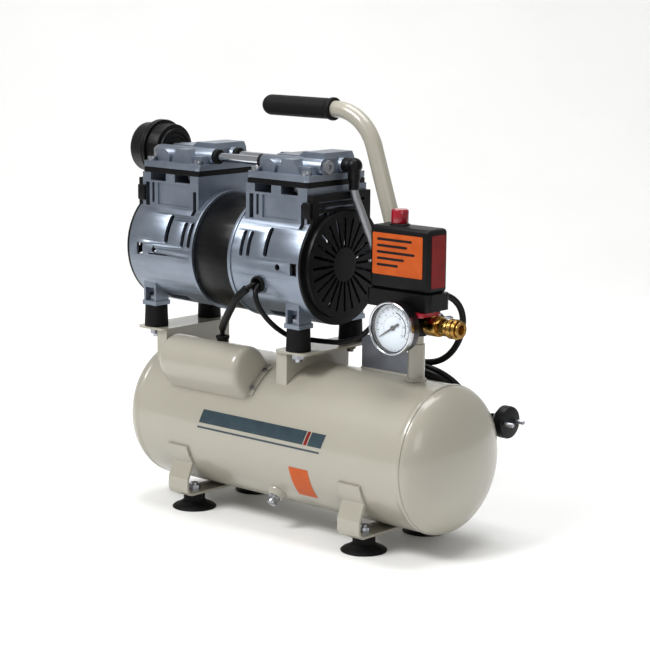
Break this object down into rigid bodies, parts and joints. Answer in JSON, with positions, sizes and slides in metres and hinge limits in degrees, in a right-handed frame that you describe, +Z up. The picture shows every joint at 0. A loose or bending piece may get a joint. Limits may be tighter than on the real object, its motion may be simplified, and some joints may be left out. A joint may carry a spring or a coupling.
{
  "type": "air compressor",
  "caption": "Small oil-free air compressor: a twin-cylinder electric pump on a horizontal air tank, with carrying handle, pressure switch, gauge, outlet tap and rubber feet.",
  "frame": {"origin": "on the floor under the middle of the machine, its mains lead left out", "axes": "+X along the tank towards the outlet tap, -Y towards the front where the gauge faces, +Z up"},
  "size_m": [0.489, 0.2013, 0.4595],
  "materials": {
    "cream_enamel": "gloss cream enamel",
    "cast_aluminium": "die-cast, lightly blasted",
    "black_rubber": "matt",
    "zinc_steel": "zinc plated",
    "bright_tube": "bright drawn",
    "black_paint": "satin black",
    "black_plastic": "moulded, fine grain",
    "cable_pvc": "flexible PVC",
    "brass": "turned brass",
    "lamination_steel": "stacked steel",
    "copper_winding": "enamelled copper wire",
    "machined_steel": "turned and ground",
    "piston_alloy": "machined casting",
    "steel_braid": "woven wire",
    "dark_casting": "blackened",
    "red_plastic": "gloss red",
    "dial_white": "printed dial",
    "needle_black": "matt black",
    "clear_lens": "clear window"
  },
  "bodies": {
    "compressor": {"tank_shell": "cream_enamel", "tank_ends": "cream_enamel", "foot_brackets": "cream_enamel", "rubber_feet": "black_rubber", "m8_fixings": "zinc_steel", "drain_cock": "zinc_steel", "saddles": "cream_enamel", "rubber_mounts": "black_rubber", "capacitor_cover": "cream_enamel", "run_capacitor": "black_plastic", "cover_screws": "zinc_steel", "cable_grommets": "black_rubber", "crankcase_left": "cast_aluminium", "crankcase_right": "cast_aluminium", "motor_drum": "black_paint", "stator_core": "lamination_steel", "stator_windings": "copper_winding", "shaft_bearings": "machined_steel", "fan_covers": "black_plastic", "cylinder_sleeves": "machined_steel", "valve_plates": "black_paint", "head_gaskets": "black_rubber", "cylinder_heads": "cast_aluminium", "head_bolts": "zinc_steel", "silencer_body": "black_plastic", "silencer_cap": "black_plastic", "crossover_tubes": "bright_tube", "port_seals": "black_rubber", "port_plugs": "zinc_steel", "hose_elbow": "black_plastic", "braided_hose": "steel_braid", "check_valve": "brass", "riser_pipe": "cream_enamel", "manifold": "dark_casting", "switch_base": "black_plastic", "switch_cover": "black_plastic", "gauge_case": "black_paint", "gauge_dial": "dial_white", "gauge_lens": "clear_lens", "safety_valve": "zinc_steel", "outlet_tap": "brass", "coupler_body": "brass", "handle_tube": "cream_enamel", "handle_grip": "black_rubber", "motor_cables": "cable_pvc", "cord_gland": "cable_pvc", "power_cord": "cable_pvc", "cord_coil": "cable_pvc", "power_plug": "cable_pvc"},
    "crank": {"motor_shaft": "machined_steel", "rotor": "lamination_steel", "cooling_fans": "black_plastic"},
    "left_piston": {"piston_left": "piston_alloy"},
    "right_piston": {"piston_right": "piston_alloy"},
    "switch_button": {"switch_knob": "red_plastic"},
    "tap": {"tap_lever": "red_plastic"},
    "needle": {"gauge_needle": "needle_black"},
    "sleeve": {"coupler_sleeve": "brass"},
    "drain": {"drain_knob": "zinc_steel"},
    "relief_ring": {"safety_ring": "zinc_steel"}
  },
  "joints": [
    {"name": "shaft_spin", "type": "hinge", "parent": "compressor", "child": "crank", "pos_m": [-0.0645, 0.00389, 0.2865], "axis": [1, 0, 0], "continuous": true},
    {"name": "left_piston_stroke", "type": "slide", "parent": "compressor", "child": "left_piston", "axis": [0, 0, 1], "range_m": [-0.008, 0.008]},
    {"name": "right_piston_stroke", "type": "slide", "parent": "compressor", "child": "right_piston", "axis": [0, 0, 1], "range_m": [-0.008, 0.008]},
    {"name": "switch_pull", "type": "slide", "parent": "compressor", "child": "switch_button", "axis": [0, 0, 1], "range_m": [0, 0.006]},
    {"name": "tap_turn", "type": "hinge", "parent": "compressor", "child": "tap", "pos_m": [0.1915, 0.00389, 0.236], "axis": [0, 0, 1], "range_deg": [0, 90]},
    {"name": "needle_sweep", "type": "hinge", "parent": "compressor", "child": "needle", "pos_m": [0.1705, -0.03961, 0.236], "axis": [0, 1, 0], "range_deg": [0, 240]},
    {"name": "sleeve_pull", "type": "slide", "parent": "compressor", "child": "sleeve", "axis": [1, 0, 0], "range_m": [-0.003, 0], "stiffness_N_per_m": 900},
    {"name": "drain_turn", "type": "hinge", "parent": "compressor", "child": "drain", "pos_m": [0.0245, -0.0483, 0.04053], "axis": [0, -0.6691, -0.7431], "range_deg": [0, 270]},
    {"name": "relief_pull", "type": "slide", "parent": "compressor", "child": "relief_ring", "axis": [0, 1, 0], "range_m": [0, 0.003], "stiffness_N_per_m": 1500}
  ]
}
